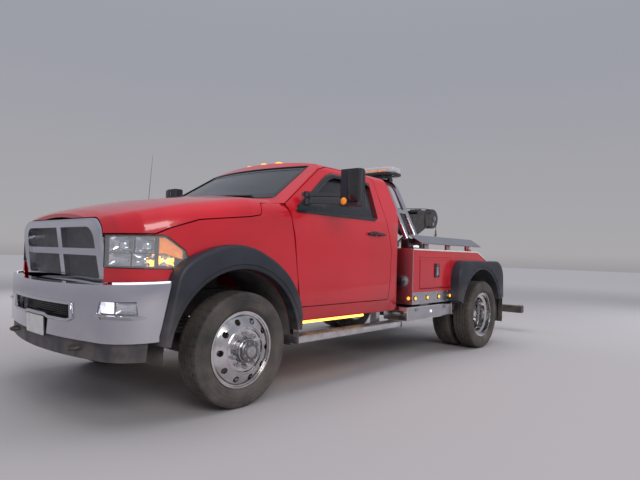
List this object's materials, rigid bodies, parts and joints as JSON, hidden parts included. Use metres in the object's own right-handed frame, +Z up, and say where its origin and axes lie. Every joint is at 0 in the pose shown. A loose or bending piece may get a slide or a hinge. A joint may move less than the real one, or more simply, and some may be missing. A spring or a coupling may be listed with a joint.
{
  "type": "tow truck",
  "caption": "Light tow truck: hollow two-door cab, dual rear wheels, steel body with tool bays, raising and extending boom, winch, twin-tube arch and a folding wheel lift.",
  "frame": {"origin": "on the ground under the middle of the whole truck, between the front bumper and the rear of the wheel lift", "axes": "+X forward, +Y to the driver's (left) side, +Z up"},
  "size_m": [6.51, 2.77, 2.0799],
  "materials": {
    "tyre_rubber": "matt",
    "polished_wheel": "polished",
    "red_paint": "gloss",
    "glass": "clear",
    "chrome": "mirror",
    "lens": "clear gloss",
    "black_plastic": "grained",
    "rubber": "matt",
    "seat_fabric": "woven",
    "steel": "brushed",
    "frame_black": "satin",
    "cast_iron": "rough"
  },
  "bodies": {
    "chassis": {"axles": "frame_black", "bench_seat": "seat_fabric", "body_sides": "red_paint", "boom_mast": "frame_black", "bumper": "chrome", "cab_glass": "glass", "cab_shell": "red_paint", "chassis_frame": "frame_black", "core_support": "frame_black", "cross_members": "frame_black", "dashboard": "black_plastic", "flares": "black_plastic", "front_fenders": "red_paint", "fuel_tank": "frame_black", "grille_frame": "chrome", "grille_mesh": "black_plastic", "headlamps": "lens", "light_bar": "lens", "mudflaps": "rubber", "power_unit": "cast_iron", "running_boards": "steel", "side_rails": "steel", "small_lamps": "lens", "springs": "frame_black", "steel_panels": "steel", "steering_wheel": "black_plastic", "tow_deck": "frame_black", "tube_arch": "chrome", "valance": "black_plastic"},
    "steer_left": {"knuckle_left": "frame_black"},
    "steer_right": {"knuckle_right": "frame_black"},
    "wheel_front_left": {"tyre_front_left": "tyre_rubber", "rim_front_left": "polished_wheel"},
    "wheel_front_right": {"tyre_front_right": "tyre_rubber", "rim_front_right": "polished_wheel"},
    "wheels_rear_left": {"tyres_rear_left": "tyre_rubber", "rims_rear_left": "polished_wheel"},
    "wheels_rear_right": {"tyres_rear_right": "tyre_rubber", "rims_rear_right": "polished_wheel"},
    "cab_door_left": {"door_left": "red_paint", "door_glass_left": "glass", "mirror_left": "black_plastic"},
    "cab_door_right": {"door_right": "red_paint", "door_glass_right": "glass", "mirror_right": "black_plastic"},
    "hood_lid": {"hood": "red_paint"},
    "bay_door_left": {"tool_door_left": "red_paint"},
    "bay_door_right": {"tool_door_right": "red_paint"},
    "boom": {"boom_outer": "frame_black"},
    "boom_extension": {"boom_slide": "frame_black"},
    "boom_barrel": {"boom_ram_barrel": "frame_black"},
    "boom_rod": {"boom_ram_rod": "steel"},
    "winch": {"winch_drum": "frame_black"},
    "wheel_lift": {"lift_arm": "frame_black"},
    "lift_extension": {"lift_slide": "frame_black"},
    "cross_bar": {"crossbar": "frame_black"},
    "claw_arm_left": {"claw_left": "frame_black"},
    "claw_arm_right": {"claw_right": "frame_black"},
    "tilt_barrel": {"tilt_ram_barrel": "frame_black"},
    "tilt_rod": {"tilt_ram_rod": "steel"}
  },
  "joints": [
    {"name": "steer_left", "type": "hinge", "parent": "chassis", "child": "steer_left", "pos_m": [2.275, 0.838, 0.4045], "axis": [0, 0, 1], "range_deg": [-35, 35]},
    {"name": "steer_right", "type": "hinge", "parent": "chassis", "child": "steer_right", "pos_m": [2.275, -0.838, 0.4045], "axis": [0, 0, 1], "range_deg": [-35, 35]},
    {"name": "wheel_front_left", "type": "hinge", "parent": "steer_left", "child": "wheel_front_left", "pos_m": [2.275, 0.9525, 0.4045], "axis": [0, 1, 0], "continuous": true},
    {"name": "wheel_front_right", "type": "hinge", "parent": "steer_right", "child": "wheel_front_right", "pos_m": [2.275, -0.9525, 0.4045], "axis": [0, 1, 0], "continuous": true},
    {"name": "wheels_rear_left", "type": "hinge", "parent": "chassis", "child": "wheels_rear_left", "pos_m": [-1.395, 0.964, 0.4045], "axis": [0, 1, 0], "continuous": true},
    {"name": "wheels_rear_right", "type": "hinge", "parent": "chassis", "child": "wheels_rear_right", "pos_m": [-1.395, -0.964, 0.4045], "axis": [0, 1, 0], "continuous": true},
    {"name": "cab_door_left", "type": "hinge", "parent": "chassis", "child": "cab_door_left", "pos_m": [1.775, 0.985, 1], "axis": [0, 0, -1], "range_deg": [0, 67]},
    {"name": "cab_door_right", "type": "hinge", "parent": "chassis", "child": "cab_door_right", "pos_m": [1.775, -0.985, 1], "axis": [0, 0, 1], "range_deg": [0, 67]},
    {"name": "hood", "type": "hinge", "parent": "chassis", "child": "hood_lid", "pos_m": [1.825, 0, 1.52], "axis": [0, -1, 0], "range_deg": [0, 45]},
    {"name": "bay_door_left", "type": "hinge", "parent": "chassis", "child": "bay_door_left", "pos_m": [-0.399, 1.0845, 1.0818], "axis": [1, 0, 0], "range_deg": [0, 100]},
    {"name": "bay_door_right", "type": "hinge", "parent": "chassis", "child": "bay_door_right", "pos_m": [-0.399, -1.0845, 1.0818], "axis": [-1, 0, 0], "range_deg": [0, 100]},
    {"name": "boom_lift", "type": "hinge", "parent": "chassis", "child": "boom", "pos_m": [-0.425, 0, 1.49], "axis": [0, 1, 0], "range_deg": [0, 35]},
    {"name": "boom_extend", "type": "slide", "parent": "boom", "child": "boom_extension", "axis": [-0.9962, 0, 0.0872], "range_m": [0, 0.65]},
    {"name": "boom_barrel", "type": "hinge", "parent": "chassis", "child": "boom_barrel", "pos_m": [-0.745, 0, 0.96], "axis": [0, 1, 0], "range_deg": [0, 31]},
    {"name": "boom_rod", "type": "slide", "parent": "boom_barrel", "child": "boom_rod", "axis": [-0.8791, 0, 0.4766], "range_m": [0, 0.364]},
    {"name": "winch_drum", "type": "hinge", "parent": "chassis", "child": "winch", "pos_m": [-0.185, 0, 1.01], "axis": [0, 1, 0], "continuous": true},
    {"name": "lift_tilt", "type": "hinge", "parent": "chassis", "child": "wheel_lift", "pos_m": [-2.085, 0, 0.59], "axis": [0, 1, 0], "range_deg": [-8, 60]},
    {"name": "lift_extend", "type": "slide", "parent": "wheel_lift", "child": "lift_extension", "axis": [-1, 0, 0], "range_m": [-0.12, 0.33]},
    {"name": "crossbar_swivel", "type": "hinge", "parent": "lift_extension", "child": "cross_bar", "pos_m": [-3.15, 0, 0.34], "axis": [0, 0, 1], "range_deg": [-15, 15]},
    {"name": "claw_left", "type": "hinge", "parent": "cross_bar", "child": "claw_arm_left", "pos_m": [-3.231, 1, 0.34], "axis": [0, 0, -1], "range_deg": [0, 90]},
    {"name": "claw_right", "type": "hinge", "parent": "cross_bar", "child": "claw_arm_right", "pos_m": [-3.231, -1, 0.34], "axis": [0, 0, 1], "range_deg": [0, 90]},
    {"name": "tilt_barrel", "type": "hinge", "parent": "chassis", "child": "tilt_barrel", "pos_m": [-1.525, 0, 0.69], "axis": [0, 1, 0], "range_deg": [-11, 1.6]},
    {"name": "tilt_rod", "type": "slide", "parent": "tilt_barrel", "child": "tilt_rod", "axis": [-0.994, 0, 0.1094], "range_m": [-0.134, 0.0185]}
  ],
  "couplings": [
    {"joint": "steer_right", "follows": "steer_left", "ratio": 1},
    {"joint": "boom_barrel", "follows": "boom_lift", "ratio": 0.882},
    {"joint": "boom_rod", "follows": "boom_lift", "m_per_rad": 0.595},
    {"joint": "tilt_barrel", "follows": "lift_tilt", "ratio": -0.181},
    {"joint": "tilt_rod", "follows": "lift_tilt", "m_per_rad": -0.127}
  ]
}
